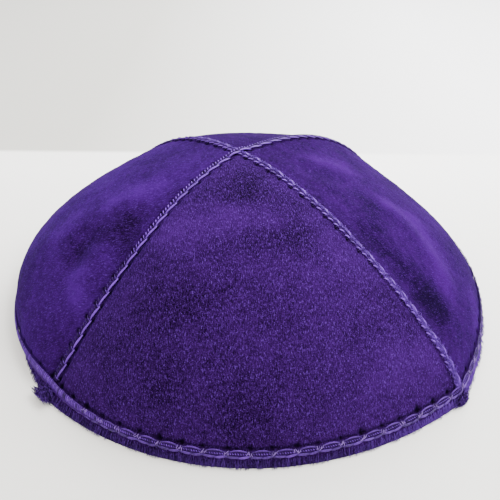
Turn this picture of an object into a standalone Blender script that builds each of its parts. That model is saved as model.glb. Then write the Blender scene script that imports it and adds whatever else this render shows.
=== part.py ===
# Kippah skullcap: four suede panels, a braid over each pair of seams and a braid round the rim.
# Metres, +Z up, the front at -Y. The cap stands on its rim at z = 0, centred on the origin.
import bpy
import bmesh
from collections import namedtuple
from math import asin, atan2, cos, degrees, exp, radians, sin, sqrt
from mathutils import Vector

# Sizes that can be set by themselves
CAP_RADIUS = 0.0846            # mean radius of the rim
CAP_HEIGHT = 0.052             # tip of the crown above the rim
TIP_LEFT = 0.0042              # tip of the crown left of the rim's centre
TIP_FORWARD = 0.0014           # and in front of it
SUEDE = 0.0014                 # thickness of the suede
SEAM_GAP = 0.0003              # between two panels along their seam
FIT_GAP = 0.0003               # between a braid and what it lies on
SEAM_BRAID_WIDTH = 0.0032
SEAM_BRAID_THICKNESS = 0.0010
RIM_BRAID_WIDTH = 0.0036
RIM_BRAID_THICKNESS = 0.0011
RIM_EDGE = 0.0026              # bare suede below the rim braid, measured up the wall

# Azimuths turn from the front to the right, in degrees. Drops run from 0 at the tip to 1 at the rim.
FRONT, RIGHT, BACK, LEFT = 0, 90, 180, 270
PANEL_SPAN = 90
FRONT_RIGHT, BACK_RIGHT, BACK_LEFT, FRONT_LEFT = 45, 135, 225, 315

# Shape of the crown down eight meridians: panel middles and seams in turn, from the front middle.
# Chosen by hand. Lengths outwards are shares of the way from the tip to the rim, lengths upwards of
# the height, and rim is a share of the radius.
Meridian = namedtuple("Meridian", "rim level shoulder_out shoulder_up wall_out wall_up")
MERIDIANS = (
    Meridian(1.005, 0.28, 0.62, 0.85, 0.95, 0.40),    # front
    Meridian(1.055, 0.27, 0.48, 0.79, 0.91, 0.46),    # front right seam
    Meridian(1.005, 0.26, 0.50, 0.76, 1.00, 0.30),    # right
    Meridian(1.005, 0.30, 0.61, 0.94, 0.93, 0.38),    # back right seam
    Meridian(0.985, 0.25, 0.60, 0.80, 0.94, 0.38),    # back
    Meridian(0.995, 0.30, 0.57, 0.90, 0.92, 0.35),    # back left seam
    Meridian(0.985, 0.25, 0.58, 0.75, 1.16, 0.36),    # left
    Meridian(1.030, 0.20, 0.59, 0.78, 0.92, 0.10),    # front left seam
)

# Soft dents and folds, each along a line over the crown. Width and rise are shares of the radius,
# and a fold that sinks has a negative rise.
Fold = namedtuple("Fold", "from_azimuth from_drop to_azimuth to_drop width rise")
FOLDS = (
    Fold(-64, 0.28, -51, 0.52, 0.06, -0.010),         # valley beside the front left seam
    Fold(-65, 0.55, -62, 0.60, 0.06, -0.016),         # dent on the left
    Fold(-56, 0.56, -52, 0.66, 0.05, 0.008),          # ridge in front of that dent
    Fold(-62, 0.31, -77, 0.66, 0.09, 0.008),          # broad swell down the left panel
    Fold(81, 0.53, 66, 0.72, 0.06, 0.010),            # ridge down the right panel
    Fold(52, 0.50, 49, 0.76, 0.07, -0.012),           # valley beside the front right seam
    Fold(79, 0.24, 84, 0.36, 0.05, -0.006),           # small folds right of the tip
    Fold(98, 0.26, 101, 0.36, 0.05, 0.005),
)

# How finely the pieces are cut
PANEL_COLUMNS = 16
PANEL_ROWS = 16
SEAM_SECTIONS = 24             # down each side of the crown, beside those at the crossing
RIM_SECTIONS = 96
WELD = 1e-6                    # vertices closer than this are one
SHARP_ANGLE = radians(40)
BISECTIONS = 30
TURN_STEPS = 4
WALK_STEPS = 200               # from the rim to the tip
NORMAL_STEP = 0.0004

# Outline of a braid from its left edge over the top to its right edge, as shares of its width and
# thickness: two round ribs with a groove between them
BRAID_TOP = (
    (-0.50, 0.40), (-0.38, 0.90), (-0.22, 1.00), (-0.07, 0.80),
    (0.07, 0.80), (0.22, 1.00), (0.38, 0.90), (0.50, 0.40),
)
BRAID_BOTTOM = ((0.50, 0.0), (0.0, 0.0), (-0.50, 0.0))
BRAID_OUTLINE = BRAID_TOP + BRAID_BOTTOM

# The upper braid climbs over the lower one: fully raised out to the first share of the lower
# braid's width from the tip, and back down at the second
HOP_TOP = 0.70
HOP_FOOT = 1.60
CROSSING_SECTIONS = (0.35, 0.70, 1.00, 1.30, 1.60)    # distances from the tip, in widths

TIP = Vector((-TIP_LEFT, -TIP_FORWARD))


def clear_scene():
    for item in list(bpy.data.objects):
        bpy.data.objects.remove(item, do_unlink=True)


def meridian_at(azimuth):
    """shares at an azimuth: flat-sided between two seams, with a crease along each"""
    turn = (azimuth - FRONT_LEFT) % 360 / PANEL_SPAN
    panel = int(turn)
    share = turn - panel
    left, middle, right = (MERIDIANS[(2 * panel + step) % len(MERIDIANS)] for step in (-1, 0, 1))
    half = radians(PANEL_SPAN / 2)
    crease = (1 / cos(half * (2 * share - 1)) - 1) / (1 / cos(half) - 1)
    blend = share * share * (3 - 2 * share)
    return Meridian(*(m + (l + (r - l) * blend - m) * crease for l, m, r in zip(left, middle, right)))


def rim_ray(azimuth, shares):
    """plan vector from under the tip to the rim"""
    turn = radians(azimuth)
    return CAP_RADIUS * shares.rim * Vector((sin(turn), -cos(turn))) - TIP


def descend(shares, reach, drop):
    """place outwards and upwards, and direction of travel, at a drop down a meridian"""
    row = [
        Vector((0, CAP_HEIGHT)),
        Vector((shares.level * reach, CAP_HEIGHT)),
        Vector((shares.shoulder_out * reach, shares.shoulder_up * CAP_HEIGHT)),
        Vector((shares.wall_out * reach, shares.wall_up * CAP_HEIGHT)),
        Vector((reach, 0)),
    ]
    while len(row) > 2:
        row = [a.lerp(b, drop) for a, b in zip(row, row[1:])]
    return row[0].lerp(row[1], drop), (row[1] - row[0]).normalized()


def stand(ray, place):
    """point in space from a meridian's ray in plan and a place outwards and upwards"""
    plan = TIP + ray.normalized() * place.x
    return Vector((plan.x, plan.y, place.y))


def fold_lines():
    """ends of the folds in space, on the crown before it is folded"""
    lines = []
    for fold in FOLDS:
        ends = []
        for azimuth, drop in ((fold.from_azimuth, fold.from_drop), (fold.to_azimuth, fold.to_drop)):
            shares = meridian_at(azimuth)
            ray = rim_ray(azimuth, shares)
            ends.append(stand(ray, descend(shares, ray.length, drop)[0]))
        lines.append((fold, ends[0], ends[1] - ends[0]))
    return lines


FOLD_LINES = fold_lines()


def folds_at(point):
    """how far the folds raise the crown at a point"""
    rise = 0.0
    for fold, start, way in FOLD_LINES:
        share = min(1.0, max(0.0, (point - start).dot(way) / way.length_squared))
        away = (point - start - share * way).length
        rise += fold.rise * exp(-(away / (fold.width * CAP_RADIUS)) ** 2)
    return rise * CAP_RADIUS


def crown_point(azimuth, drop, lift=0.0):
    """point of the suede's outer face, or one raised off it in the meridian's plane"""
    shares = meridian_at(azimuth)
    ray = rim_ray(azimuth, shares)
    place, travel = descend(shares, ray.length, drop)
    lift += folds_at(stand(ray, place))
    if drop < 1:
        place += lift * Vector((-travel.y, travel.x))
    else:
        place.x -= lift / travel.y
    return stand(ray, place)


def drop_at(shares, reach, distance):
    """drop at which a meridian has come a distance outwards from the tip"""
    low, high = 0.0, 1.0
    for _ in range(BISECTIONS):
        middle = (low + high) / 2
        if descend(shares, reach, middle)[0].x < distance:
            low = middle
        else:
            high = middle
    return low


def drop_above_rim(azimuth, length):
    """drop at which a meridian is a length up the wall from the rim"""
    drop = 1.0
    here = crown_point(azimuth, drop)
    while length > 0 and drop > 0:
        there = crown_point(azimuth, drop - 1 / WALK_STEPS)
        stride = (there - here).length
        drop -= min(1.0, length / stride) / WALK_STEPS
        length -= stride
        here = there
    return drop


def crown_above(plan):
    """point of the suede's outer face over a place in plan"""
    way = plan - TIP
    if way.length < WELD:
        return crown_point(FRONT, 0)
    azimuth = degrees(atan2(way.x, -way.y))
    for _ in range(TURN_STEPS):
        ray = rim_ray(azimuth, meridian_at(azimuth))
        azimuth -= degrees(ray.angle_signed(way))
    return crown_point(azimuth, drop_at(meridian_at(azimuth), ray.length, way.length))


def normal_above(plan):
    """direction straight out of the crown over a place in plan"""
    ahead, aside = Vector((NORMAL_STEP, 0)), Vector((0, NORMAL_STEP))
    along = crown_above(plan + ahead) - crown_above(plan - ahead)
    across = crown_above(plan + aside) - crown_above(plan - aside)
    return along.cross(across).normalized()


def bent_grid(columns, rows, place):
    """grid of cells whose corner in a column and a row goes where place says"""
    bm = bmesh.new()
    bmesh.ops.create_grid(bm, x_segments=columns, y_segments=rows, size=0.5)
    for vert in bm.verts:
        vert.co = place(round((vert.co.x + 0.5) * columns), round((0.5 - vert.co.y) * rows))
    return bm


def add_piece(name, bm, material):
    """object from a closed mesh, with what falls together welded"""
    bmesh.ops.remove_doubles(bm, verts=bm.verts, dist=WELD)
    bmesh.ops.holes_fill(bm, edges=bm.edges)
    bmesh.ops.recalc_face_normals(bm, faces=bm.faces)
    mesh = bpy.data.meshes.new(name)
    bm.to_mesh(mesh)
    bm.free()
    mesh.shade_smooth()
    mesh.set_sharp_from_angle(angle=SHARP_ANGLE)
    mesh.materials.append(material)
    piece = bpy.data.objects.new(name, mesh)
    bpy.context.collection.objects.link(piece)
    return piece


def seam_gap_turn(seam, drop):
    """azimuth that half the gap between two panels takes up beside their seam"""
    shares = meridian_at(seam)
    distance = descend(shares, rim_ray(seam, shares).length, drop)[0].x
    return degrees(asin(SEAM_GAP / 2 / distance))


def add_panel(name, middle, material):
    """suede panel between two seams: a slab of cells bent to the crown"""
    bm = bmesh.new()
    bmesh.ops.create_grid(bm, x_segments=PANEL_COLUMNS, y_segments=PANEL_ROWS, size=0.5)
    inside = bmesh.ops.extrude_face_region(bm, geom=bm.faces[:])["geom"]
    bmesh.ops.translate(bm, verts=[v for v in inside if isinstance(v, bmesh.types.BMVert)], vec=(0, 0, -1))
    left, right = middle - PANEL_SPAN / 2, middle + PANEL_SPAN / 2
    middle_shares = meridian_at(middle)
    tip_drop = drop_at(middle_shares, rim_ray(middle, middle_shares).length, SEAM_GAP / sqrt(2))
    for vert in bm.verts:
        column, drop, depth = vert.co.x + 0.5, 0.5 - vert.co.y, -vert.co.z * SUEDE
        if drop * PANEL_ROWS < 0.5:
            vert.co = crown_point(middle, tip_drop, -depth)
            continue
        start, end = left + seam_gap_turn(left, drop), right - seam_gap_turn(right, drop)
        vert.co = crown_point(start + (end - start) * column, drop, -depth)
    return add_piece(name, bm, material)


def side_distances(seam):
    """distances from the tip of the sections down one side of a seam braid, nearest first"""
    shares = meridian_at(seam)
    reach = rim_ray(seam, shares).length
    crossing = [share * SEAM_BRAID_WIDTH for share in CROSSING_SECTIONS]
    first = drop_at(shares, reach, crossing[-1])
    last = drop_above_rim(seam, RIM_EDGE + RIM_BRAID_WIDTH + 2 * FIT_GAP)
    drops = [first + (last - first) * step / SEAM_SECTIONS for step in range(1, SEAM_SECTIONS + 1)]
    return crossing + [descend(shares, reach, drop)[0].x for drop in drops]


def hop(distance):
    """how far the upper braid is raised over the lower one, at a distance from the tip"""
    share = (HOP_FOOT - abs(distance) / SEAM_BRAID_WIDTH) / (HOP_FOOT - HOP_TOP)
    share = min(1.0, max(0.0, share))
    return (SEAM_BRAID_THICKNESS + FIT_GAP) * share * share * (3 - 2 * share)


def add_seam_braid(name, start_seam, end_seam, hops, material):
    """braid down two opposite seams, from the rim braid over the tip to the rim braid"""
    start_way = -rim_ray(start_seam, meridian_at(start_seam)).normalized()
    end_way = rim_ray(end_seam, meridian_at(end_seam)).normalized()
    sections = [(-distance, start_way) for distance in reversed(side_distances(start_seam))]
    sections.append((0.0, (start_way + end_way).normalized()))
    sections += [(distance, end_way) for distance in side_distances(end_seam)]

    def place(column, row):
        distance, way = sections[column]
        across, up = BRAID_OUTLINE[row % len(BRAID_OUTLINE)]
        plan = TIP + distance * way + across * SEAM_BRAID_WIDTH * way.orthogonal()
        lift = FIT_GAP + up * SEAM_BRAID_THICKNESS + (hop(distance) if hops else 0.0)
        return crown_above(plan) + lift * normal_above(plan)

    return add_piece(name, bent_grid(len(sections) - 1, len(BRAID_OUTLINE), place), material)


def add_rim_braid(name, material):
    """braid round the cap, above the bare edge of the suede"""
    def place(column, row):
        azimuth = 360 * (column % RIM_SECTIONS) / RIM_SECTIONS
        across, up = BRAID_OUTLINE[row % len(BRAID_OUTLINE)]
        drop = drop_above_rim(azimuth, RIM_EDGE + (across + 0.5) * RIM_BRAID_WIDTH)
        return crown_point(azimuth, drop, FIT_GAP + up * RIM_BRAID_THICKNESS)

    return add_piece(name, bent_grid(RIM_SECTIONS, len(BRAID_OUTLINE), place), material)


def centre_on_origin(pieces):
    """moves the pieces so that the origin is under the middle of the cap's outline"""
    points = [vert.co for piece in pieces for vert in piece.data.vertices]
    for axis in (0, 1):
        middle = (min(p[axis] for p in points) + max(p[axis] for p in points)) / 2
        for piece in pieces:
            piece.location[axis] = -middle


def surface_material(name, colour, roughness):
    material = bpy.data.materials.new(name)
    material.use_nodes = True
    shader = material.node_tree.nodes["Principled BSDF"]
    shader.inputs["Base Color"].default_value = (*colour, 1)
    shader.inputs["Roughness"].default_value = roughness
    shader.inputs["Metallic"].default_value = 0
    return material


def suede():
    return surface_material("violet suede", (0.048, 0.021, 0.141), 0.95)


def soutache():
    return surface_material("violet soutache", (0.156, 0.061, 0.402), 0.55)


def main():
    clear_scene()
    centre_on_origin([
        add_panel("panel_front", FRONT, suede()),
        add_panel("panel_right", RIGHT, suede()),
        add_panel("panel_back", BACK, suede()),
        add_panel("panel_left", LEFT, suede()),
        add_seam_braid("seam_braid_over", FRONT_LEFT, BACK_RIGHT, True, soutache()),
        add_seam_braid("seam_braid_under", FRONT_RIGHT, BACK_LEFT, False, soutache()),
        add_rim_braid("rim_braid", soutache()),
    ])


main()
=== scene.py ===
import bmesh
import bpy
import numpy as np
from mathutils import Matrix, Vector


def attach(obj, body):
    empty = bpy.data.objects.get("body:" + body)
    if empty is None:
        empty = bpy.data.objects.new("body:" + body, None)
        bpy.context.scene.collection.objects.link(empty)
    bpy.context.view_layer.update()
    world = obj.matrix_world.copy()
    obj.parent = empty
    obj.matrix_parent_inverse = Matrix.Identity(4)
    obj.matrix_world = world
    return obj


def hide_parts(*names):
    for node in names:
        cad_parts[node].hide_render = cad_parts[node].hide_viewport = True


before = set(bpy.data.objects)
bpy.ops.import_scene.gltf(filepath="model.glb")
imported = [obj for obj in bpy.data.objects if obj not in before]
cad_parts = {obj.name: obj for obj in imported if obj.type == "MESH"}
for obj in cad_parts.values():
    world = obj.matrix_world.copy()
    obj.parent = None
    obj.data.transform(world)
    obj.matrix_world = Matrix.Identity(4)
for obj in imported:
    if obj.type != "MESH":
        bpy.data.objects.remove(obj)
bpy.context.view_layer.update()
dice = np.random.default_rng(11)
mm = 0.001

# The crown's shape, the same as the CAD's.
# Lengths outwards are shares of the way from the tip to the rim, lengths upwards of the height,
# and the rim, folds' widths and rises are shares of the radius
crown = {
    "radius": 84.6 * mm,
    "height": 52 * mm,
    "tip": (-4.2 * mm, -1.4 * mm),
    "shift": (0.448 * mm, 0.942 * mm, 0),       # centres the outline on the origin
    "suede": 1.4 * mm,
    "seamGap": 0.3 * mm,
    "rimSlope": -0.2,                           # the wall never counts as flatter than this at the rim
    "meridians": (                              # rim, level, shoulder out, up, wall out, up
        (1.005, 0.28, 0.62, 0.85, 0.95, 0.40),  # front
        (1.055, 0.27, 0.48, 0.79, 0.91, 0.46),  # front right seam
        (1.005, 0.26, 0.50, 0.76, 1.00, 0.30),  # right
        (1.005, 0.30, 0.61, 0.94, 0.93, 0.38),  # back right seam
        (0.985, 0.25, 0.60, 0.80, 0.94, 0.38),  # back
        (0.995, 0.30, 0.57, 0.90, 0.92, 0.35),  # back left seam
        (0.985, 0.25, 0.58, 0.75, 1.16, 0.36),  # left
        (1.030, 0.20, 0.59, 0.78, 0.92, 0.10),  # front left seam
    ),
    "folds": (                                  # from azimuth, drop, to azimuth, drop, width, rise
        (-64, 0.28, -51, 0.52, 0.06, -0.010),
        (-65, 0.55, -62, 0.60, 0.06, -0.016),
        (-56, 0.56, -52, 0.66, 0.05, 0.008),
        (-62, 0.31, -77, 0.66, 0.09, 0.008),
        (81, 0.53, 66, 0.72, 0.06, 0.010),
        (52, 0.50, 49, 0.76, 0.07, -0.012),
        (79, 0.24, 84, 0.36, 0.05, -0.006),
        (98, 0.26, 101, 0.36, 0.05, 0.005),
    ),
}
nudges = {"drop": 0.004, "azimuth": 0.3, "plan": 0.4 * mm}      # small moves that slopes are taken over
meridians = np.array(crown["meridians"])
tip = np.array(crown["tip"])
shift = np.array(crown["shift"])


def meridianAt(azimuth):
    # flat-sided between two seams, with a crease along each
    turn = (azimuth - 315) % 360 / 90
    panel = np.floor(turn).astype(int)
    share = turn - panel
    left, middle, right = (meridians[(2 * panel + step) % 8] for step in (-1, 0, 1))
    crease = (1 / np.cos(np.pi / 4 * (2 * share - 1)) - 1) / (1 / np.cos(np.pi / 4) - 1)
    blend = share * share * (3 - 2 * share)
    flat = left + (right - left) * blend[..., None]
    return np.moveaxis(middle + (flat - middle) * crease[..., None], -1, 0)


def descend(azimuth, drop):
    # unit vector in plan, place outwards and upwards, direction of travel
    azimuth, drop = np.broadcast_arrays(np.asarray(azimuth, float), np.asarray(drop, float))
    rim, level, shoulderOut, shoulderUp, wallOut, wallUp = meridianAt(azimuth)
    turn = np.radians(azimuth)
    ray = np.stack([np.sin(turn), -np.cos(turn)], -1) * (crown["radius"] * rim)[..., None] - tip
    reach = np.linalg.norm(ray, axis=-1)
    tall = crown["height"] + 0 * reach
    outs = (0 * reach, level * reach, shoulderOut * reach, wallOut * reach, reach)
    ups = (tall, tall, shoulderUp * tall, wallUp * tall, 0 * reach)
    row = [np.stack(pair, -1) for pair in zip(outs, ups)]
    drop = drop[..., None]
    while len(row) > 2:
        row = [a + (b - a) * drop for a, b in zip(row, row[1:])]
    travel = row[1] - row[0]
    place = row[0] + travel * drop
    return ray / reach[..., None], place, travel / np.linalg.norm(travel, axis=-1)[..., None]


def stand(ray, place):
    plan = tip + ray * place[..., :1]
    return np.concatenate([plan, place[..., 1:]], -1)


def foldLine(fold):
    ends = []
    for azimuth, drop in (fold[:2], fold[2:4]):
        ray, place, _ = descend(azimuth, drop)
        ends.append(stand(ray, place))
    return ends[0], ends[1] - ends[0], fold[4] * crown["radius"], fold[5] * crown["radius"]


foldLines = [foldLine(fold) for fold in crown["folds"]]


def foldsAt(points, lines=foldLines):
    rise = np.zeros(points.shape[:-1])
    for start, way, width, height in lines:
        share = np.clip((points - start) @ way / (way @ way), 0, 1)
        away = np.linalg.norm(points - start - share[..., None] * way, axis=-1)
        rise += height * np.exp(-(away / width) ** 2)
    return rise


def crownPoint(azimuth, drop, lift=0.0):
    # point of the suede's outer face, or one raised off it in the meridian's plane
    azimuth, drop, lift = np.broadcast_arrays(np.asarray(azimuth, float), np.asarray(drop, float), lift)
    ray, place, travel = descend(azimuth, drop)
    lift = (lift + foldsAt(stand(ray, place)))[..., None]
    out, up = travel[..., :1], travel[..., 1:]
    raised = place + lift * np.concatenate([-up, out], -1)
    level = place - lift * np.concatenate([1 / np.minimum(up, crown["rimSlope"]), 0 * up], -1)
    return stand(ray, np.where(drop[..., None] < 1, raised, level)) + shift


def between(low, high, values):
    # smooth step from 0 to 1
    share = np.clip((values - low) / (high - low), 0, 1)
    return share * share * (3 - 2 * share)


def unit(vectors):
    return vectors / np.maximum(np.linalg.norm(vectors, axis=-1), 1e-12)[..., None]


def crownNormal(azimuth, drop):
    ahead, aside = nudges["drop"], nudges["azimuth"]
    down = crownPoint(azimuth, drop + ahead) - crownPoint(azimuth, drop - ahead)
    across = crownPoint(azimuth + aside, drop) - crownPoint(azimuth - aside, drop)
    return unit(np.cross(down, across))


def crownAbove(plan, turns=4, halvings=18):
    # point of the suede's outer face over a place in plan, with its azimuth and drop
    way = plan - tip
    reach = np.maximum(np.linalg.norm(way, axis=-1), 1e-7)
    azimuth = np.degrees(np.arctan2(way[..., 0], -way[..., 1]))
    for _ in range(turns):
        ray = descend(azimuth, 0.5)[0]
        beside = ray[..., 0] * way[..., 1] - ray[..., 1] * way[..., 0]
        azimuth = azimuth + np.degrees(np.arcsin(beside / reach))
    low, high = np.zeros(reach.shape), np.ones(reach.shape)
    for _ in range(halvings):
        half = (low + high) / 2
        short = descend(azimuth, half)[1][..., 0] < reach
        low, high = np.where(short, half, low), np.where(short, high, half)
    return crownPoint(azimuth, low), azimuth, low


def normalAbove(plan):
    ahead, aside = np.array([nudges["plan"], 0]), np.array([0, nudges["plan"]])
    along = crownAbove(plan + ahead)[0] - crownAbove(plan - ahead)[0]
    across = crownAbove(plan + aside)[0] - crownAbove(plan - aside)[0]
    return unit(np.cross(along, across))


def heightAboveRim(azimuth, drop, steps=8):
    # length up the wall from the rim
    rows = [crownPoint(azimuth, drop + (1 - drop) * step / steps) for step in range(steps + 1)]
    return sum(np.linalg.norm(b - a, axis=-1) for a, b in zip(rows, rows[1:]))


def dropAboveRim(azimuth, height, steps=6):
    drop = np.ones(np.broadcast(azimuth, height).shape)
    for _ in range(steps):
        stride = crownPoint(azimuth, drop) - crownPoint(azimuth, drop - nudges["drop"])
        drop = drop - height / steps * nudges["drop"] / np.linalg.norm(stride, axis=-1)
    return drop


# Where the stitches go.
# Every braid is laid on a course: a place along it, across it and above the suede gives a point
seams = {
    "width": 3.2 * mm,
    "hopHeight": 0.55 * mm,                     # the threads flatten where one braid crosses the other
    "stitch": 4.9 * mm,
    "holes": 1.55 * mm,                         # needle holes, either side of the middle
    "hopTop": 0.70,                             # the upper braid is fully raised inside this many widths
    "hopFoot": 1.60,                            # and lies back down at this many
    "bend": 2 * mm,                             # length over which a course turns at the tip
    "samples": 1201,
}
# Stretches where the seam braids change, as lengths from the tip, minus to the front
wear = {
    "rubbed": (-75 * mm, -45 * mm),             # in front of it the lower braid is rubbed to one fuzzy band
    "creased": (-55 * mm, -30 * mm),            # in front of it a deeper groove, with painted shade, runs beside the upper braid
    "sunk": (-60 * mm, -38 * mm),               # in front of it the upper braid's beads sink into the nap, thinner and darker with painted shade
    "dulled": (0, 25 * mm),                     # behind it both are drawn duller
    "dullness": 0.45,
}
rim = {
    "braidTop": 5.9 * mm,
    "clearance": 0.2 * mm,
    "stitches": 85,
    "holes": 6.30 * mm,                         # needle holes above the rim
    "girth": 4 * mm,                            # height at which the way round is measured
    "samples": 1441,
}
# Stretches of the rim as azimuths: where each starts, is full, starts to fade and ends
rimZones = {
    "lit": (14, 38, 95, 130),                   # the raw edge faces the window
    "piped": (190, 225, 318, 342),              # the braid's rows lie close and read as one smooth piping
    "shadedUnder": (44, 56, 115, 135),               # the rows are darkened with painted shade, where the rim turns under
}


def hopAt(distance):
    # how far the upper braid is raised near the tip
    share = (seams["hopFoot"] - abs(distance) / seams["width"]) / (seams["hopFoot"] - seams["hopTop"])
    return seams["hopHeight"] * between(0, 1, share)


class SeamCourse:
    # over the tip, from one seam down the opposite one
    def __init__(self, start, end, hops):
        self.ways = (-descend(start, 1)[0], descend(end, 1)[0])
        self.hops = hops
        reach = [descend(azimuth, 1)[1][0] for azimuth in (start, end)]
        self.distances = np.linspace(-reach[0], reach[1], seams["samples"])
        points = crownAbove(self.plan(self.distances, 0 * self.distances))[0]
        steps = np.linalg.norm(np.diff(points, axis=0), axis=-1)
        self.lengths = np.concatenate([[0], np.cumsum(steps)])
        self.lengths -= np.interp(0, self.distances, self.lengths)
        foot = rim["braidTop"] + rim["clearance"]
        self.first, self.last = self.lengths[0] + foot, self.lengths[-1] - foot

    def plan(self, distance, across):
        turn = np.clip(distance / seams["bend"] + 0.5, 0, 1)[..., None]
        way = unit(self.ways[0] * (1 - turn) + self.ways[1] * turn)
        side = np.stack([-way[..., 1], way[..., 0]], -1)
        return tip + distance[..., None] * way + across[..., None] * side

    def place(self, along, across, lift):
        distance = np.interp(along, self.lengths, self.distances)
        plan = self.plan(distance, across)
        if self.hops:
            lift = lift + hopAt(distance)
        normal = normalAbove(plan)
        return crownAbove(plan)[0] + normal * lift[..., None], normal

    def measure(self, plan):
        # place along and across of points in plan
        away = plan - tip
        side = np.where((away @ (self.ways[0] + self.ways[1]))[..., None] < 0, *self.ways)
        distance = np.sum(away * side, -1)
        across = away[..., 1] * side[..., 0] - away[..., 0] * side[..., 1]
        return np.interp(distance, self.distances, self.lengths), across


def rubbedAt(along):
    return 1 - between(*wear["rubbed"], along)


def dulledAt(along):
    return 1 - wear["dullness"] * between(*wear["dulled"], along)


def zoneAt(zone, azimuth):
    start, full, fading, end = rimZones[zone]
    return between(start, full, azimuth) * (1 - between(fading, end, azimuth))


class RimCourse:
    # round the rim from the front to the right; across is the height above the rim
    def __init__(self):
        self.azimuths = np.linspace(0, 360, rim["samples"])
        points = crownPoint(self.azimuths, dropAboveRim(self.azimuths, rim["girth"]))
        steps = np.linalg.norm(np.diff(points, axis=0), axis=-1)
        self.lengths = np.concatenate([[0], np.cumsum(steps)])
        self.whole = self.lengths[-1]
        self.stitch = self.whole / rim["stitches"]

    def place(self, along, across, lift):
        azimuth = np.interp(along % self.whole, self.lengths, self.azimuths)
        drop = dropAboveRim(azimuth, across)
        normal = crownNormal(azimuth, drop)
        return crownPoint(azimuth, drop) + normal * lift[..., None], normal

    def along(self, azimuth):
        return np.interp(azimuth % 360, self.azimuths, self.lengths)

    def azimuthAt(self, along):
        return np.interp(along % self.whole, self.lengths, self.azimuths)


overCourse = SeamCourse(315, 135, True)
underCourse = SeamCourse(45, 225, False)
rimCourse = RimCourse()
print("courses:", [round(c.last - c.first, 4) for c in (overCourse, underCourse)], round(rimCourse.whole, 4))


# Materials
def hexColour(text):
    # sRGB hex to linear
    parts = [int(text[i:i + 2], 16) / 255 for i in (0, 2, 4)]
    return (*[c / 12.92 if c <= 0.04045 else ((c + 0.055) / 1.055) ** 2.4 for c in parts], 1)


def addNode(tree, kind, settings=None, **inputs):
    node = tree.nodes.new(kind)
    for name, value in (settings or {}).items():
        setattr(node, name, value)
    for name, value in inputs.items():
        numbered = name[0] == "n" and name[1:].isdigit()
        socket = node.inputs[int(name[1:]) if numbered else name.replace("_", " ")]
        if isinstance(value, bpy.types.NodeSocket):
            tree.links.new(value, socket)
        else:
            socket.default_value = value
    return node


def newMaterial(name, surface):
    material = bpy.data.materials.new(name)
    material.use_nodes = True
    shader = material.node_tree.nodes["Principled BSDF"]
    for socket, value in surface.items():
        shader.inputs[socket].default_value = value
    return material, material.node_tree, shader


# How a nap lies: its colour brushed towards the eye, its colour brushed away, and how much single tufts show
naps = {
    "raised": ("361058", "080013", 0.70),                       # grainy, its tufts show singly
    "lying flat": ("340a5b", "0f011d", 0.50),                   # smoother, richer violet
    "running from the eye": ("2f0551", "0a0018", 0.50),         # smoother still and deeper, and darker as painted shade for the right and back panels
}
suede = {
    "tips": "54358b",                           # the few fibre ends that catch the light
    "paintedShade": "040109",                        # painted shade in the needle holes, along the grooves beside the braids and along the cut edge
    "patch": 14 * mm,                           # brushed zones
    "mottle": 3.0 * mm,
    "tuft": (0.31 * mm, 0.95 * mm),             # clumps of fibres, combed down from the tip
    "grain": 0.33 * mm,                         # fibre ends, drawn coarser than they are so that they show
    "grainShare": 0.42,                         # against the tufts
    "mottleShare": 0.45,                        # against the patches
    "brushing": 0.60,                           # how much the brush marks, with their painted light and shade, count
    "even": (0.34, 0.66),                       # spans of the noise that go from one colour to the other
    "crisp": (0.42, 0.63),
    "bright": (0.56, 0.68),
    "relief": 0.30 * mm,
    "surface": {"Roughness": 0.95, "IOR": 1.45, "Specular IOR Level": 0.03, "Sheen Weight": 0.05,
                "Sheen Roughness": 0.5, "Sheen Tint": hexColour("6418d8")},
}


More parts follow.
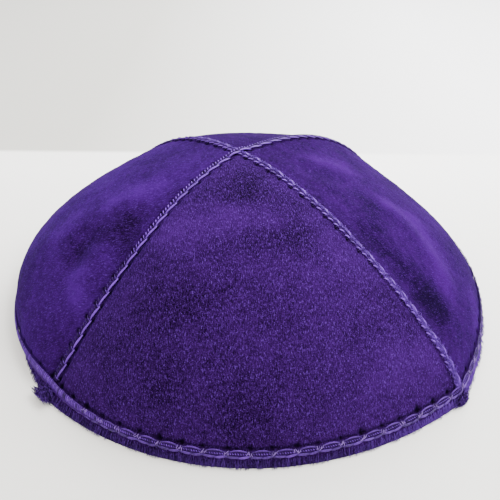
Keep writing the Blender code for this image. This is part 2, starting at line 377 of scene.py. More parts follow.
def splitSuede(way):
    # split leather with a raised nap: no gloss, a faint bloom at grazing angles, patches where it was
    # brushed, brush marks with painted light and shade, and painted shade in holes and grooves
    light, dark, speckle = naps[way]
    material, tree, shader = newMaterial("split suede with the nap " + way, suede["surface"])
    spots = addNode(tree, "ShaderNodeTexCoord").outputs
    combed = addNode(tree, "ShaderNodeMapping", Vector=spots["UV"],
                     Scale=(1 / suede["tuft"][0], 1 / suede["tuft"][1], 1))
    patch, mottle, grain = [addNode(tree, "ShaderNodeTexNoise", Vector=spots["Object"],
                                    Scale=1 / suede[kind], Detail=detail).outputs["Fac"]
                            for kind, detail in (("patch", 3.0), ("mottle", 3.0), ("grain", 2.0))]
    tuft = addNode(tree, "ShaderNodeTexNoise", Vector=combed.outputs[0], Scale=1.0, Detail=3.0,
                   Distortion=0.7).outputs["Fac"]
    nap = addNode(tree, "ShaderNodeMix", n0=suede["grainShare"], n2=tuft, n3=grain).outputs[0]
    ranges = ((patch, "even", 1.0), (mottle, "even", 1.0),
              (nap, "crisp", 1.0), (nap, "bright", speckle - 0.1))
    wide, fine, tiny, ends = [addNode(tree, "ShaderNodeMapRange", Value=value, n1=suede[span][0],
                                      n2=suede[span][1], n4=top).outputs[0] for value, span, top in ranges]
    first = addNode(tree, "ShaderNodeMix", n0=suede["mottleShare"], n2=wide, n3=fine)
    second = addNode(tree, "ShaderNodeMix", n0=speckle, n2=first.outputs[0], n3=tiny)
    brushAndPaintedLight = addNode(tree, "ShaderNodeAttribute", {"attribute_name": "brushAndPaintedLight"})
    third = addNode(tree, "ShaderNodeMath", {"operation": "MULTIPLY_ADD", "use_clamp": True},
                    n0=brushAndPaintedLight.outputs["Fac"], n1=suede["brushing"], n2=second.outputs[0])
    colour = addNode(tree, "ShaderNodeMix", {"data_type": "RGBA"}, n0=third.outputs[0],
                     n6=hexColour(dark), n7=hexColour(light))
    tipped = addNode(tree, "ShaderNodeMix", {"data_type": "RGBA"}, n0=ends,
                     n6=colour.outputs[2], n7=hexColour(suede["tips"]))
    paintedShade = addNode(tree, "ShaderNodeAttribute", {"attribute_name": "paintedShade"})
    final = addNode(tree, "ShaderNodeMix", {"data_type": "RGBA"}, n0=paintedShade.outputs["Fac"],
                    n6=tipped.outputs[2], n7=hexColour(suede["paintedShade"]))
    bump = addNode(tree, "ShaderNodeBump", Strength=0.7, Distance=suede["relief"], Height=nap)
    tree.links.new(final.outputs[2], shader.inputs["Base Color"])
    tree.links.new(bump.outputs[0], shader.inputs["Normal"])
    return material


# Colour of a thread in painted shade where it has sunk, colour of one on top, roughness and gloss
yarns = {
    "lilac rayon thread": ("14032c", "6c36b0", 0.5, 0.22),      # spun and silky, with a soft shine
    "lilac sewing thread": ("201038", "7a5aa4", 0.6, 0.15),     # greyer, less shine
    "violet cotton cord": ("0a0218", "3a1462", 0.85, 0.08),     # woven and matt
    "frayed suede fibres": ("0c0219", "5c3592", 0.95, 0.03),    # cut leather, no shine
}
yarnMottle = {"size": 0.5 * mm, "strength": 0.15}


def spunThread(name):
    # each thread a slightly different tone, with painted shade where threads sink between others and into
    # needle holes
    dark, light, roughness, gloss = yarns[name]
    surface = {"Roughness": roughness, "IOR": 1.5, "Specular IOR Level": gloss}
    material, tree, shader = newMaterial(name, surface)
    coords = addNode(tree, "ShaderNodeTexCoord").outputs["Object"]
    fibre = addNode(tree, "ShaderNodeTexNoise", Vector=coords, Scale=1 / yarnMottle["size"], Detail=2.0)
    shade = addNode(tree, "ShaderNodeAttribute", {"attribute_name": "shade"})
    mottle = addNode(tree, "ShaderNodeMapRange", Value=fibre.outputs["Fac"], n1=0.3, n2=0.7,
                     n3=-yarnMottle["strength"], n4=yarnMottle["strength"])
    total = addNode(tree, "ShaderNodeMath", {"operation": "ADD", "use_clamp": True},
                    n0=shade.outputs["Fac"], n1=mottle.outputs[0])
    colour = addNode(tree, "ShaderNodeMix", {"data_type": "RGBA"}, n0=total.outputs[0],
                     n6=hexColour(dark), n7=hexColour(light))
    tree.links.new(colour.outputs[2], shader.inputs["Base Color"])
    return material


# Lighter and darker bands as lines drawn on the crown: partly where hands have brushed the nap to or from the
# eye, partly painted light and shade of soft folds and dents
napAndShadeMarks = (                                  # from azimuth, drop, to azimuth, drop, width, lighter
    (328, 0.40, 357, 0.33, 0.083, 0.50),
    (11, 0.17, 4, 0.23, 0.071, -0.50),
    (8, 0.38, 19, 0.42, 0.083, -0.32),
    (333, 0.58, 342, 0.59, 0.095, -0.25),
    (344, 0.78, 339, 0.75, 0.106, -0.22),
    (358, 0.85, 8, 0.87, 0.106, -0.12),
    (33, 0.47, 19, 0.55, 0.095, 0.20),
    (28, 0.81, 41, 0.83, 0.106, 0.35),
    (15, 0.33, 16, 0.34, 0.047, 0.35),
    (296, 0.31, 294, 0.35, 0.059, 0.60),
    (284, 0.43, 286, 0.37, 0.059, 0.60),
    (295, 0.57, 292, 0.58, 0.071, -0.50),
    (302, 0.43, 303, 0.45, 0.059, -0.50),
    (303, 0.61, 308, 0.66, 0.041, 0.70),
    (285, 0.63, 282, 0.58, 0.059, 0.30),
    (292, 0.71, 297, 0.76, 0.047, 0.20),
    (322, 0.69, 320, 0.74, 0.047, -0.15),
    (299, 0.88, 309, 0.93, 0.080, 0.40),
    (165, 0.15, 205, 0.20, 0.150, -0.30),
    (103, 0.30, 104, 0.40, 0.059, 0.95),
    (84, 0.51, 83, 0.56, 0.059, 0.80),
    (86, 0.61, 63, 0.73, 0.059, 1.00),
    (53, 0.50, 54, 0.76, 0.059, -0.50),
    (52, 0.71, 50, 0.83, 0.059, -0.30),
    (70, 0.86, 63, 0.92, 0.035, 0.50),
    (78, 0.44, 63, 0.51, 0.047, -0.30),
    (200, 0.35, 215, 0.60, 0.100, 0.40),
    (150, 0.55, 165, 0.75, 0.100, -0.40),
)
napAndShadeLines = [foldLine(mark) for mark in napAndShadeMarks]


def meshFrom(bm, name):
    mesh = bpy.data.meshes.new(name)
    bm.to_mesh(mesh)
    bm.free()
    return mesh


def addObject(name, data):
    added = bpy.data.objects.new(name, data)
    bpy.context.scene.collection.objects.link(added)
    return added


def addPiece(name, mesh, material):
    mesh.name = name
    mesh.shade_smooth()
    mesh.materials.append(material)
    piece = addObject(name, mesh)
    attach(piece, "root")
    return piece


panels = {
    "columns": 180,
    "rows": 170,
    "nearSeams": 0.6,                           # how much closer the columns stand beside a seam
    "nearRim": 0.45,
    "tipDrop": 0.002,                           # where the four panels end at the tip
    "lumps": 0.10 * mm,                         # soft unevenness of the leather
    "lumpSize": 2.2 * mm,
    "napRelief": 0.06 * mm,
    "napSize": 0.9 * mm,
    "reliefFrom": 1 * mm,                       # the cut edge itself is even
    "holeDepth": 0.45 * mm,
    "holeSize": 0.62 * mm,
    "rimHoleDepths": (0.70, 1.25),              # pulled harder at some stitches than at others
    "rimHoleSquash": 0.65,                      # the rim's holes are longer up the wall than wide
    "grooveDepth": 0.22 * mm,
    "grooveBeside": 1.75 * mm,                  # line pressed along a seam braid, from its middle
    "grooveWidth": 0.45 * mm,
    "creasedWidth": 0.30 * mm,                  # more where the braid has pressed deep
    "rimGroove": 6.1 * mm,
    "cutEdge": 1.6 * mm,                        # how far up the cut edge's painted shade, and its painted light where the window falls, reach
    "cutShade": 0.6,
    "cutLight": 1.4,
}
holeDepths = dice.uniform(*panels["rimHoleDepths"], rim["stitches"] + 1)


def holesAndGroovesAt(points, azimuth, drop):
    # needle holes beside the braids and the rim, and a groove along each: dents in the nap and painted shade
    # in them
    plan = points[..., :2] - shift[:2]
    holes = np.zeros(len(points))
    lines = np.zeros(len(points))
    for course in (overCourse, underCourse):
        along, across = course.measure(plan)
        step = (along / seams["stitch"] + 0.5) % 1 - 0.5
        side = abs(across) - seams["holes"]
        shut = 1 if course.hops else 1 - 0.8 * rubbedAt(along)
        holes += shut * np.exp(-((step * seams["stitch"]) ** 2 + side ** 2) / panels["holeSize"] ** 2)
        creased = 1 - between(*wear["creased"], along) if course.hops else 0 * along
        width = panels["grooveWidth"] + panels["creasedWidth"] * creased
        deep = 0.30 + 0.95 * creased * (across < 0)
        lines += deep * np.exp(-((abs(across) - panels["grooveBeside"]) / width) ** 2)
    height = heightAboveRim(azimuth, drop)
    along = rimCourse.along(azimuth)
    step = (along / rimCourse.stitch + 0.5) % 1 - 0.5
    side = panels["rimHoleSquash"] * (height - rim["holes"])
    deep = holeDepths[np.rint(along / rimCourse.stitch).astype(int)]
    holes += deep * np.exp(-((step * rimCourse.stitch) ** 2 + side ** 2) / (deep * panels["holeSize"]) ** 2)
    lines += 0.8 * np.exp(-((height - panels["rimGroove"]) / panels["grooveWidth"]) ** 2)
    return np.clip(holes, 0, 1), np.clip(lines, 0, 1), height


def valueNoise(points, size, seed):
    # smooth random heights between -1 and 1; the primes scatter neighbouring cells
    primes = (73856093, 19349663, 83492791)
    spot = points / size
    cell = np.floor(spot).astype(int)
    share = spot - cell
    share = share * share * (3 - 2 * share)
    total = np.zeros(len(points))
    for corner in np.ndindex(2, 2, 2):
        key = (cell + corner) * primes
        mixed = (key[:, 0] ^ key[:, 1] ^ key[:, 2] ^ seed * 2654435) & 0xffffff
        mixed = (mixed * 1103515 + 12345 ^ mixed >> 7) & 0xffffff
        weight = np.prod(np.where(corner, share, 1 - share), axis=1)
        total += weight * (mixed / 0x7fffff - 1)
    return total


def addPanel(name, middle, material):
    bm = bmesh.new()
    bmesh.ops.create_grid(bm, x_segments=panels["columns"], y_segments=panels["rows"], size=0.5)
    inside = bmesh.ops.extrude_face_region(bm, geom=bm.faces[:])["geom"]
    bmesh.ops.translate(bm, verts=[v for v in inside if isinstance(v, bmesh.types.BMVert)], vec=(0, 0, -1))
    bm.verts.index_update()
    square = np.array([v.co for v in bm.verts])
    across, down, depth = square[:, 0] + 0.5, 0.5 - square[:, 1], -square[:, 2]
    across = across - panels["nearSeams"] * np.sin(2 * np.pi * across) / (2 * np.pi)
    down = down + panels["nearRim"] * np.sin(np.pi * down) / np.pi
    down = np.where(down > 0.99999, 1, down)
    left, right = middle - 45, middle + 45
    reach = [np.maximum(descend(side, down)[1][:, 0], crown["seamGap"]) for side in (left, right)]
    start = left + np.degrees(np.arcsin(crown["seamGap"] / 2 / reach[0]))
    end = right - np.degrees(np.arcsin(crown["seamGap"] / 2 / reach[1]))
    azimuth = start + (end - start) * across
    azimuth = np.where(down < panels["tipDrop"], middle, azimuth)
    down = np.maximum(down, panels["tipDrop"])
    skin = crownPoint(azimuth, down)
    holes, lines, height = holesAndGroovesAt(skin, azimuth, down)
    outer = depth < 0.5
    fade = np.clip(height / panels["reliefFrom"], 0, 1)
    relief = panels["lumps"] * valueNoise(skin, panels["lumpSize"], 3)
    relief += panels["napRelief"] * valueNoise(skin, panels["napSize"], 5)
    relief -= panels["holeDepth"] * holes + panels["grooveDepth"] * lines
    lift = np.where(outer, relief * fade, -crown["suede"])
    points = crownPoint(azimuth, down, lift)
    points[:, 2] = np.maximum(points[:, 2], 0)
    paintedShade = bm.verts.layers.float.new("paintedShade")
    # painted shade in the needle holes and along the grooves
    shadow = np.where(outer, np.clip(holes * 1.2 + lines * 0.65, 0, 1), 0)
    edge = np.exp(-(height / panels["cutEdge"]) ** 2)
    lit = zoneAt("lit", azimuth % 360)
    # painted shade along the cut edge, except where the window lights it
    shadow = np.maximum(shadow, panels["cutShade"] * (1 - lit) * edge)
    brushAndPaintedLight = bm.verts.layers.float.new("brushAndPaintedLight")
    # brush marks, partly painted light and shade, plus painted light on the cut edge where the window falls
    marksAndLight = foldsAt(skin - shift, napAndShadeLines) / crown["radius"] + panels["cutLight"] * lit * edge
    flat = bm.loops.layers.uv.new("UVMap")
    beside = np.radians(azimuth - middle) * np.linalg.norm(skin[:, :2] - tip - shift[:2], axis=-1)
    for vert, point, value, lighter in zip(bm.verts, points, shadow, marksAndLight):
        vert.co = point
        vert[paintedShade] = value
        vert[brushAndPaintedLight] = lighter
    for face in bm.faces:
        for loop in face.loops:
            loop[flat].uv = (beside[loop.vert.index], height[loop.vert.index])
    bmesh.ops.remove_doubles(bm, verts=bm.verts, dist=1e-6)
    bmesh.ops.recalc_face_normals(bm, faces=bm.faces)
    piece = addPiece(name + "_suede", meshFrom(bm, name), material)
    piece.data.set_sharp_from_angle(angle=0.9)
    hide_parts(name)
    length = heightAboveRim(np.array([middle]), np.array([0.0]), steps=60)[0]


def threadStock(stations, sides):
    # straight thread: one unit of radius, one unit between stations
    bm = bmesh.new()
    bmesh.ops.create_cone(bm, cap_ends=True, segments=sides, radius1=1, radius2=1, depth=stations - 1)
    bmesh.ops.translate(bm, verts=bm.verts, vec=(0, 0, (stations - 1) / 2))
    for cut in range(1, stations - 1):
        geom = bm.verts[:] + bm.edges[:] + bm.faces[:]
        bmesh.ops.bisect_plane(bm, geom=geom, plane_co=(0, 0, cut), plane_no=(0, 0, 1))
    return bm


threadFoot = 0.02 * mm                          # no thread dips under the floor


def layThreads(name, course, along, across, lift, halfWidth, halfHeight, shade, material, sides=6):
    # each row of the arrays is one thread, each column one station along it
    count, stations = along.shape
    bm = threadStock(stations, sides)
    stock = addObject("thread stock", meshFrom(bm, "thread stock"))
    copies = stock.modifiers.new("copies", "ARRAY")
    copies.count = count
    copies.use_relative_offset = False
    mesh = bpy.data.meshes.new_from_object(stock.evaluated_get(bpy.context.evaluated_depsgraph_get()))
    single = stock.data
    bpy.data.objects.remove(stock)
    bpy.data.meshes.remove(single)
    flat = np.empty(len(mesh.vertices) * 3, np.float32)
    mesh.vertices.foreach_get("co", flat)
    flat = flat.reshape(count, -1, 3).astype(float)
    centres, ups = course.place(along, across, lift)
    tangents = unit(np.gradient(centres, axis=1))
    sideways = unit(np.cross(ups, tangents))
    ups = np.cross(tangents, sideways)
    station = np.rint(flat[..., 2]).astype(int)
    rows = np.arange(count)[:, None]
    points = (centres[rows, station]
              + sideways[rows, station] * (flat[..., :1] * halfWidth[rows, station][..., None])
              + ups[rows, station] * (flat[..., 1:2] * halfHeight[rows, station][..., None]))
    points[..., 2] = np.maximum(points[..., 2], threadFoot)
    mesh.vertices.foreach_set("co", points.reshape(-1).astype(np.float32))
    layer = mesh.attributes.new("shade", "FLOAT", "POINT")
    shades = np.repeat(shade, flat.shape[1]) if shade.ndim == 1 else shade[rows, station].reshape(-1)
    layer.data.foreach_set("value", shades.astype(np.float32))
    return addPiece(name, mesh, material)


def perStation(count, profile):
    return np.repeat(np.asarray(profile, float)[None, :], count, axis=0)


def ramp(ends, share):
    return ends[0] + (ends[1] - ends[0]) * share


# Seam braids.
# A flat dark tape, a row of long satin floats on one side, a row of short slanted stitches on the
# other, fine threads between them, and one sewing stitch over it at each pair of needle holes
seamThreads = {                                 # across: from the middle; lift: at the ends, and more on top
    "tapeWidth": 2.0 * mm,
    "tapeThickness": 0.26 * mm,
    "tapeLift": 0.12 * mm,
    "floatThreads": 3,
    "floatAcross": (-0.60 * mm, -1.20 * mm),    # from near the middle to the needle hole
    "floatLift": (0.08 * mm, 0.30 * mm),
    "floatRound": 0.12 * mm,                    # the threads of a float lie round each other
    "floatTwist": 2.0,                          # in radians
    "floatStray": 0.12 * mm,
    "beadAcross": (0.40 * mm, 1.25 * mm),
    "beadLift": (0.12 * mm, 0.26 * mm),
    "sunkShadeTo": 0.10,                             # the row's brightness, darkened with painted shade, where it has sunk into the nap
    "rungs": 8,
    "rungAcross": (-0.50 * mm, 0.55 * mm),
    "rungLift": (0.24 * mm, 0.08 * mm),
    "rungLean": 0.30 * mm,
    "rungWidth": 0.075 * mm,
    "crossAcross": (0.05 * mm, 1.45 * mm),
    "crossLift": (0.36 * mm, 0.12 * mm),
    "crossDive": 0.62 * mm,                     # into the hole
    "crossLean": 0.40 * mm,
    "crossWidth": 0.10 * mm,
    "fuzz": 2600,
    "fuzzWidth": 0.060 * mm,
}


def arch(t, low=0.03):
    # rises steeply from both ends of a stitch to a flat top
    return np.sqrt(np.sin(np.pi * np.clip(t, low, 1 - low)))


def archedLift(key, t, curve=None):
    foot, rise = seamThreads[key]
    return foot + rise * (arch(t) if curve is None else curve)


def shadesFor(count, middle, spread, t=None, ends=0.55):
    # a random tone per thread; given t, painted shade towards both ends of each stitch
    shades = np.clip(dice.normal(middle, spread, count), 0, 1)
    return shades if t is None else shades[:, None] * (ends + (1 - ends) * arch(t))[None, :]


def stitchStarts(course, pitch):
    low, high = int(np.ceil(course.first / pitch)), int(np.floor(course.last / pitch))
    return np.arange(low, high) * pitch


# The upper braid keeps its long smooth floats; the lower one is rubbed into short fuzzy clumps
overStyle = {
    "tape": 0.30,
    "tapeRubbed": 0,                            # how much paler the tape is where the braid is rubbed
    "floatReach": 1.0,                          # share of the stitch that a float covers
    "floatThread": 0.22 * mm,                   # half a thread's width
    "floatShade": 0.80,
    "beads": 4,                                 # short slanted stitches to each float
    "beadReach": 0.55,
    "beadWidth": 0.18 * mm,
    "beadShade": 0.82,
}
underStyle = {
    "tape": 0.45,
    "tapeRubbed": 0.45,
    "floatReach": 0.62,
    "floatThread": 0.24 * mm,
    "floatShade": 0.80,
    "beads": 2,
    "beadReach": 0.62,
    "beadWidth": 0.27 * mm,
    "beadShade": 0.80,
}


def addSeamBraid(name, course, style, satin, cord):
    pitch = seams["stitch"]
    along = np.linspace(course.first, course.last, 190)[None, :]
    flat = 0 * along
    shade = style["tape"] + style["tapeRubbed"] * rubbedAt(along)
    base = layThreads(name + "_tape", course, along, flat, flat + seamThreads["tapeLift"],
                      flat + seamThreads["tapeWidth"] / 2, flat + seamThreads["tapeThickness"] / 2,
                      shade, cord, sides=8)
    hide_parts(name)
    # satin floats: bundles of threads that cross from near the middle to the needle hole
    starts = stitchStarts(course, pitch)
    threads = seamThreads["floatThreads"]
    count = len(starts) * threads
    t = np.linspace(0, 1, 9)
    order = np.tile(np.arange(threads), len(starts))
    begin = np.repeat(starts, threads) + dice.normal(0, seamThreads["floatStray"], count)
    along = begin[:, None] + pitch * (-0.02 + (style["floatReach"] + 0.02) * t)[None, :]
    turn = 2 * np.pi * order[:, None] / threads + seamThreads["floatTwist"] * t[None, :]
    across = ramp(seamThreads["floatAcross"], t * t * (3 - 2 * t))[None, :]
    across = across + style["floatThread"] * np.cos(turn) * arch(t)[None, :]
    lift = archedLift("floatLift", t)[None, :] + seamThreads["floatRound"] * np.sin(turn) * arch(t)[None, :]
    wide = perStation(count, style["floatThread"] * (0.5 + 0.5 * arch(t)))
    layThreads(name + "_floats", course, along, across, lift, wide, wide * 0.9,
               shadesFor(count, style["floatShade"], 0.14, t) * dulledAt(begin)[:, None], satin)
    # short slanted stitches on the other side
    beads = style["beads"]
    begin = (starts[:, None] + pitch * np.arange(beads)[None, :] / beads).reshape(-1)
    count = len(begin)
    t = np.linspace(0, 1, 5)
    along = begin[:, None] + pitch / beads * style["beadReach"] * t[None, :]
    across = perStation(count, ramp(seamThreads["beadAcross"], t))
    lift = perStation(count, archedLift("beadLift", t))
    wide = perStation(count, style["beadWidth"] * (0.5 + 0.5 * arch(t)))
    # painted shade and sinking: in front of the sunk stretch the beads are drawn darker and thinner
    sunkShade = ramp((seamThreads["sunkShadeTo"], 1), between(*wear["sunk"], begin))
    sunkShade = (sunkShade if course.hops else 1) * dulledAt(begin)
    wide = wide * (0.45 + 0.55 * sunkShade[:, None])
    layThreads(name + "_beads", course, along, across, lift, wide, wide * 0.85,
               shadesFor(count, style["beadShade"], 0.18, t) * sunkShade[:, None], satin)
    # fine threads across the channel between the rows
    rungs = seamThreads["rungs"]
    begin = (starts[:, None] + pitch * np.arange(rungs)[None, :] / rungs).reshape(-1)
    count = len(begin)
    t = np.linspace(0, 1, 4)
    along = begin[:, None] + seamThreads["rungLean"] * t[None, :]
    across = perStation(count, ramp(seamThreads["rungAcross"], t))
    lift = perStation(count, archedLift("rungLift", t, np.sin(np.pi * t)))
    wide = perStation(count, seamThreads["rungWidth"] + 0 * t)
    layThreads(name + "_rungs", course, along, across, lift, wide, wide,
               shadesFor(count, 0.45, 0.2), cord, sides=5)
    # a sewing stitch over the braid at each pair of needle holes
    ends = np.concatenate([starts, starts])
    sign = np.repeat([-1.0, 1.0], len(starts))
    count = len(ends)
    t = np.linspace(0, 1, 6)
    along = ends[:, None] + sign[:, None] * seamThreads["crossLean"] * t[None, :]
    across = sign[:, None] * ramp(seamThreads["crossAcross"], t)[None, :]
    dive = seamThreads["crossDive"] * t ** 2
    lift = perStation(count, archedLift("crossLift", t, np.sin(np.pi * t)) - dive)
    wide = perStation(count, seamThreads["crossWidth"] + 0 * t)
    # painted shade towards the needle hole
    layThreads(name + "_cross_stitches", course, along, across, lift, wide, wide,
               shadesFor(count, 0.65, 0.15)[:, None] * (1 - 0.9 * t)[None, :], satin, sides=5)


def addSeamFuzz(course, material):
    # rayon ends rubbed out of the floats
    count = seamThreads["fuzz"]
    t = np.linspace(0, 1, 4)
    begin = course.first + (0.3 * course.last - course.first) * dice.uniform(0, 1, count) ** 1.6
    low = rubbedAt(begin)
    along = begin[:, None] + dice.normal(0, 0.7 * mm, count)[:, None] * t[None, :]
    across = dice.normal(0, 1, count) * (0.25 + 0.40 * low) * mm - (0.85 - 0.75 * low) * mm
    across = across[:, None] + dice.normal(0, 0.4 * mm, count)[:, None] * t[None, :]
    lift = 0.30 * mm + dice.uniform(0.05, 0.45, count)[:, None] * mm * np.sin(2.6 * t)[None, :]
    wide = (seamThreads["fuzzWidth"] * dice.uniform(0.6, 1.3, count))[:, None] * (1 - 0.5 * t)[None, :]
    layThreads("seam_fuzz", course, along, across, lift, wide, wide,
               shadesFor(count, 0.62, 0.2), material, sides=3)


# Rim braid.
# The same braid, wider: leaf-shaped stitches between the needle holes, an arc along the top of each,
# a ladder inside and a wavy cord along the foot
rimThreads = {
    "tapeMiddle": 4.45 * mm,                    # heights above the rim
    "tapeWidth": 2.3 * mm,
    "tapeHalf": (0.16 * mm, 0.38 * mm),         # half its thickness, and where it is piped
    "arcThreads": 2,
    "arcSpacing": 0.22 * mm,
    "arcFoot": 4.75 * mm,
    "arcRise": 1.10 * mm,
    "arcThread": 0.085 * mm,                    # half a thread's width
    "ladderFoot": 4.50 * mm,
    "ladderTop": 4.95 * mm,
    "rungs": 9,
    "rungThread": (0.11 * mm, 0.18 * mm),       # half a thread, and where it is piped
    "rungLift": 0.22 * mm,
    "rungLean": (0.30 * mm, 0.65 * mm),
    "rungArch": (0.18 * mm, 0.60 * mm),
    "pipedReach": 4.2,                          # how much longer the rungs are where they make the piping
    "cord": 3.80 * mm,
    "cordThreads": 3,
    "cordWave": 0.16 * mm,
    "cordThread": 0.15 * mm,
    "cordSpacing": 0.21 * mm,
    "picks": 4,                                 # sewing stitches at each needle hole
    "crossTop": 5.60 * mm,
    "crossFoot": 4.45 * mm,
    "crossSpacing": 0.42 * mm,
    "crossThread": 0.09 * mm,
}


def pipedAt(along):
    return zoneAt("piped", rimCourse.azimuthAt(along))


def showsAt(along):
    # how bright the rows are: painted shade where the rim turns under, and duller where piped
    shadedUnder = zoneAt("shadedUnder", rimCourse.azimuthAt(along))
    return (1 - 0.75 * shadedUnder) * (1 - 0.45 * pipedAt(along))


def addRimBraid(satin, cord, sewing):
    course = rimCourse
    pitch = course.stitch
    along = np.linspace(0, course.whole, 420)[None, :]
    piped = pipedAt(along)
    thick = ramp(rimThreads["tapeHalf"], piped)
    base = layThreads("rim_braid_tape", course, along, 0 * along + rimThreads["tapeMiddle"], thick,
                      0 * along + rimThreads["tapeWidth"] / 2, thick, 0.32 + 0.5 * piped, cord, sides=10)
    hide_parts("rim_braid")
    starts = np.arange(rim["stitches"]) * pitch
    # arcs from hole to hole, two threads each
    threads = rimThreads["arcThreads"]
    order = np.tile(np.arange(threads), len(starts))
    begin = np.repeat(starts, threads)
    count = len(begin)
    t = np.linspace(0, 1, 10)
    along = begin[:, None] + pitch * (0.08 + 0.84 * t)[None, :]
    rise = rimThreads["arcRise"] * (1 - 0.4 * pipedAt(begin)[:, None])
    beside = (order[:, None] - (threads - 1) / 2) * rimThreads["arcSpacing"]
    across = rimThreads["arcFoot"] + rise * arch(t)[None, :] + beside
    lift = (0.20 + 0.30 * arch(t))[None, :] * mm + 0 * across
    wide = perStation(count, rimThreads["arcThread"] * (0.6 + 0.4 * arch(t)))
    layThreads("rim_braid_arcs", course, along, across, lift, wide, wide * 0.9,
               shadesFor(count, 0.46, 0.14, t, 0.15) * showsAt(begin)[:, None], satin)
    # ladder of short stitches inside each leaf
    rungs = rimThreads["rungs"]
    begin = (starts[:, None] + pitch * (np.arange(rungs)[None, :] + 0.5) / rungs).reshape(-1)
    count = len(begin)
    t = np.linspace(0, 1, 5)
    piped = pipedAt(begin)[:, None]
    along = begin[:, None] + ramp(rimThreads["rungLean"], piped) * (0.5 - t)[None, :]
    middle = (rimThreads["ladderFoot"] + rimThreads["ladderTop"]) / 2
    reach = (rimThreads["ladderTop"] - rimThreads["ladderFoot"]) * ramp((1, rimThreads["pipedReach"]), piped)
    across = middle + reach * (t - 0.5)[None, :]
    lift = rimThreads["rungLift"] + ramp(rimThreads["rungArch"], piped) * arch(t)[None, :]
    wide = ramp(rimThreads["rungThread"], piped) * (0.6 + 0.4 * arch(t))[None, :]
    layThreads("rim_braid_ladder", course, along, across, lift, wide, wide * 0.9,
               shadesFor(count, 0.62, 0.24, t, 0.3) * (1 - 0.30 * piped), satin)
    # cord along the foot: floats that ride over each other
    floats = rim["stitches"] * 2
    length = course.whole / floats
    threads = rimThreads["cordThreads"]
    order = np.tile(np.arange(threads), floats)
    begin = np.repeat(np.arange(floats) * length, threads)
    count = len(begin)
    t = np.linspace(0, 1, 8)
    along = begin[:, None] + length * (-0.06 + 1.12 * t)[None, :]
    wave = rimThreads["cordWave"] * np.cos(2 * np.pi * along / pitch)
    beside = (order[:, None] - (threads - 1) / 2) * rimThreads["cordSpacing"]
    across = rimThreads["cord"] + wave + beside * arch(t)[None, :] + (0.2 * t - 0.1)[None, :] * mm
    lift = (0.16 + 0.30 * arch(t))[None, :] * mm + 0 * across
    wide = perStation(count, rimThreads["cordThread"] * (0.5 + 0.5 * arch(t)))
    tone = np.repeat(np.clip(dice.normal(0.40, 0.20, floats), 0.2, 1), threads)
    layThreads("rim_braid_cord", course, along, across, lift, wide, wide * 0.9,
               shadesFor(count, 1.0, 0.1, t, 0.3) * (tone * showsAt(begin))[:, None], satin)
    # sewing stitches that cross the braid below each needle hole
    picks = rimThreads["picks"]
    middle = (picks - 1) / 2
    begin = (starts[:, None] + (np.arange(picks)[None, :] - middle) * rimThreads["crossSpacing"]).reshape(-1)
    begin = begin + dice.normal(0, 0.14 * mm, len(begin))
    count = len(begin)
    t = np.linspace(0, 1, 7)
    along = begin[:, None] + dice.normal(0.4 * mm, 0.5 * mm, count)[:, None] * (t - 0.5)[None, :]
    foot = rimThreads["crossFoot"] + dice.uniform(-0.3, 0.3, count) * mm
    across = foot[:, None] + (rimThreads["crossTop"] - rimThreads["crossFoot"]) * (0.8 * t)[None, :]
    lift = perStation(count, (0.60 + 0.12 * np.sin(np.pi * t) - 0.3 * t ** 3) * mm)
    wide = perStation(count, rimThreads["crossThread"] + 0 * t)
    # painted shade towards the needle hole at the top
    layThreads("rim_braid_cross_stitches", course, along, across, lift, wide, wide,
               (1.2 - 0.8 * t ** 3)[None, :] * shadesFor(count, 0.7, 0.25)[:, None], sewing, sides=5)


# Raw edge
fuzz = {
    "fibres": 8000,
    "thickness": 0.070 * mm,                    # bundles of a few fibres, since one is too fine to show
    "longest": 0.85 * mm,
    "tuftSize": 1.3 * mm,
    "clump": 700,
    "clumpReach": 3.6 * mm,                     # frayed end of a seam beyond the raw edge
    "clumpThickness": 0.13 * mm,
    "ends": (("front_left", 315, 1.0), ("front_right", 45, 0.4)),      # azimuth and size
}


def addRawEdge(material):
    count = fuzz["fibres"]
    t = np.linspace(0, 1, 4)
    begin = dice.uniform(0, rimCourse.whole, count)
    lean = dice.normal(0, 0.30 * mm, count)
    top = dice.uniform(0.9, 3.2, count) * mm
    foot = dice.uniform(0.05, 0.5, count) * mm
    tufts = 1.1 + valueNoise(np.stack([begin, 0 * begin, 0 * begin], -1), fuzz["tuftSize"], 9)
    stick = np.minimum(np.abs(dice.normal(0.20, 0.36, count)) * tufts * mm, fuzz["longest"])
    along = begin[:, None] + lean[:, None] * t[None, :]
    across = top[:, None] + (foot - top)[:, None] * t[None, :]
    lift = stick[:, None] * (t ** 1.7)[None, :] + 0.03 * mm
    wide = (fuzz["thickness"] * dice.uniform(0.6, 1.3, count))[:, None] * (1 - 0.45 * t)[None, :]
    lit = zoneAt("lit", rimCourse.azimuthAt(begin))
    # painted light on the fibres where the window falls, and paler towards their tips
    shade = (shadesFor(count, 0.30, 0.28) + 0.55 * lit)[:, None] + 0.25 * t[None, :]
    layThreads("raw_edge_fuzz", rimCourse, along, across, lift, wide, wide, shade, material, sides=3)


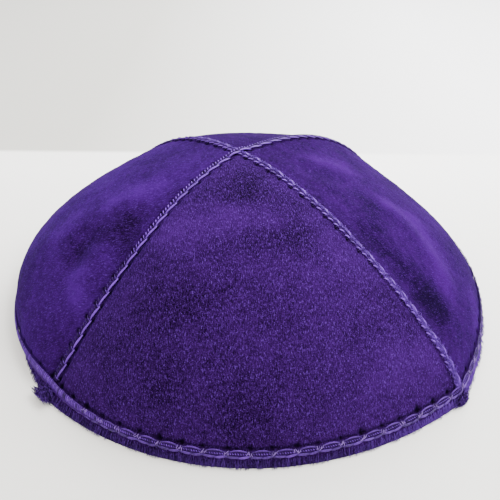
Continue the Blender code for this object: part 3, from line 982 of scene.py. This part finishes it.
def addFrayedEnds(material):
    # the seams' ends stick out past the raw edge at the corners
    count = fuzz["clump"]
    t = np.linspace(0, 1, 5)
    for name, azimuth, size in fuzz["ends"]:
        place = rimCourse.along(azimuth)
        begin = place + dice.normal(0, 1.0 * mm * size, count)
        curl = dice.normal(0, 1.4 * mm, count)
        along = begin[:, None] + curl[:, None] * (t ** 2)[None, :]
        base = dice.uniform(0.3, 2.2, count) * mm
        swing = dice.normal(0, 0.9 * mm, count)
        across = np.maximum(base[:, None] + swing[:, None] * np.sin(2.5 * t)[None, :], 0.15 * mm)
        reach = dice.uniform(0.1, 1, count) ** 1.2 * fuzz["clumpReach"] * size
        lift = reach[:, None] * np.sin(1.5 * t)[None, :] + 0.02 * mm
        wide = (fuzz["clumpThickness"] * dice.uniform(0.6, 1.2, count))[:, None] * (1 - 0.4 * t)[None, :]
        layThreads("frayed_end_" + name, rimCourse, along, across, lift, wide, wide,
                   shadesFor(count, 0.30, 0.2), material, sides=4)


# Floor, lights and camera
studio = {
    "size": 1.5,
    # near and far, left and right tones: painted light, brighter towards the right and the back
    "nearLeft": "d1d0cc",
    "nearRight": "e0e0dc",
    "farLeft": "f8f7f5",
    "farRight": "ffffff",
    "lowLeft": "bab9b3",                        # foot of the wall
    "lowRight": "fcfcff",
    "highLeft": "bcbbb6",
    "highRight": "e0e0e2",
    "table": (-0.07, 0.09),                     # from the near tone to the far one, along Y
    "beside": (-0.10, 0.16),                    # from the left tones to the right ones, along X
    "line": (0.1073, 0.1113),                   # soft line where the wall starts
    "lineSlant": 0.02,
    "wall": (0.11, 0.50),
    "world": 1.38,
    "lights": (                                 # place, target, size, watts, colour
        ("window", (0.55, 0.15, 0.75), (0, 0, 0.02), 0.7, 20, "ffffff"),
        ("ceiling", (-0.1, -0.2, 1.1), (0, 0, 0), 0.9, 12.5, "fff8f0"),
        ("backdrop", (0.2, 0.75, 0.55), (0.12, 0.30, 0), 0.6, 14, "ffffff"),
    ),
    "lens": 39.85,
    "pitch": 35.19,                             # degrees downwards
    "camera": (-0.00009, -0.17163, 0.13204),    # from the crown's centre
}


def addStage():
    # one flat board, painted in the tones of a table and of the wall behind it, with painted light: brighter
    # towards the right and the back
    bm = bmesh.new()
    bmesh.ops.create_grid(bm, x_segments=2, y_segments=2, size=studio["size"])
    floor = addObject("floor", meshFrom(bm, "floor"))
    material, tree, shader = newMaterial("painted board", {"Roughness": 0.6})
    coords = addNode(tree, "ShaderNodeTexCoord").outputs["Object"]
    x, y = addNode(tree, "ShaderNodeSeparateXYZ", Vector=coords).outputs[:2]
    slanted = addNode(tree, "ShaderNodeMath", {"operation": "MULTIPLY_ADD"},
                      n0=x, n1=studio["lineSlant"], n2=y).outputs[0]
    beside, back, up, end = [addNode(tree, "ShaderNodeMapRange", Value=value, n1=studio[span][0],
                                     n2=studio[span][1]).outputs[0]
                             for value, span in ((x, "beside"), (y, "table"), (y, "wall"), (slanted, "line"))]
    near, far, low, high = [addNode(tree, "ShaderNodeMix", {"data_type": "RGBA"}, n0=beside,
                                    n6=hexColour(studio[band + "Left"]),
                                    n7=hexColour(studio[band + "Right"])).outputs[2]
                            for band in ("near", "far", "low", "high")]
    table = addNode(tree, "ShaderNodeMix", {"data_type": "RGBA"}, n0=back, n6=near, n7=far)
    wall = addNode(tree, "ShaderNodeMix", {"data_type": "RGBA"}, n0=up, n6=low, n7=high)
    colour = addNode(tree, "ShaderNodeMix", {"data_type": "RGBA"}, n0=end,
                     n6=table.outputs[2], n7=wall.outputs[2])
    tree.links.new(colour.outputs[2], shader.inputs["Base Color"])
    floor.data.materials.append(material)


def addLight(name, place, target, size, power, colour):
    light = bpy.data.lights.new(name, "AREA")
    light.shape = "DISK"
    light.size = size
    light.energy = power
    light.color = hexColour(colour)[:3]
    lamp = addObject(name, light)
    lamp.location = place
    lamp.rotation_euler = (Vector(target) - Vector(place)).to_track_quat("-Z", "Y").to_euler()


def addStudio():
    world = bpy.data.worlds.new("studio")
    world.use_nodes = True
    background = world.node_tree.nodes["Background"]
    background.inputs["Color"].default_value = (1, 1, 1, 1)
    background.inputs["Strength"].default_value = studio["world"]
    bpy.context.scene.world = world
    for light in studio["lights"]:
        addLight(*light)
    camera = bpy.data.cameras.new("camera")
    camera.lens = studio["lens"]
    camera.sensor_width = 36
    holder = addObject("camera", camera)
    holder.location = shift + studio["camera"]
    holder.rotation_euler = (np.radians(90 - studio["pitch"]), 0, 0)
    bpy.context.scene.camera = holder


addStage()
addStudio()
raisedNap, flatNap, farNapShaded = [splitSuede(way) for way in naps]
satinThread, sewingThread, cordThread, rawFibre = [spunThread(name) for name in yarns]
cutPieces = (("panel_front", 0, raisedNap), ("panel_right", 90, farNapShaded),
             ("panel_back", 180, farNapShaded), ("panel_left", 270, flatNap))
for nodeName, middle, material in cutPieces:
    addPanel(nodeName, middle, material)
addSeamBraid("seam_braid_under", underCourse, underStyle, satinThread, cordThread)
addSeamBraid("seam_braid_over", overCourse, overStyle, satinThread, cordThread)
addSeamFuzz(underCourse, satinThread)
print("seam braids")
addRimBraid(satinThread, cordThread, sewingThread)
addRawEdge(rawFibre)
addFrayedEnds(rawFibre)
print("rim braid and raw edge")
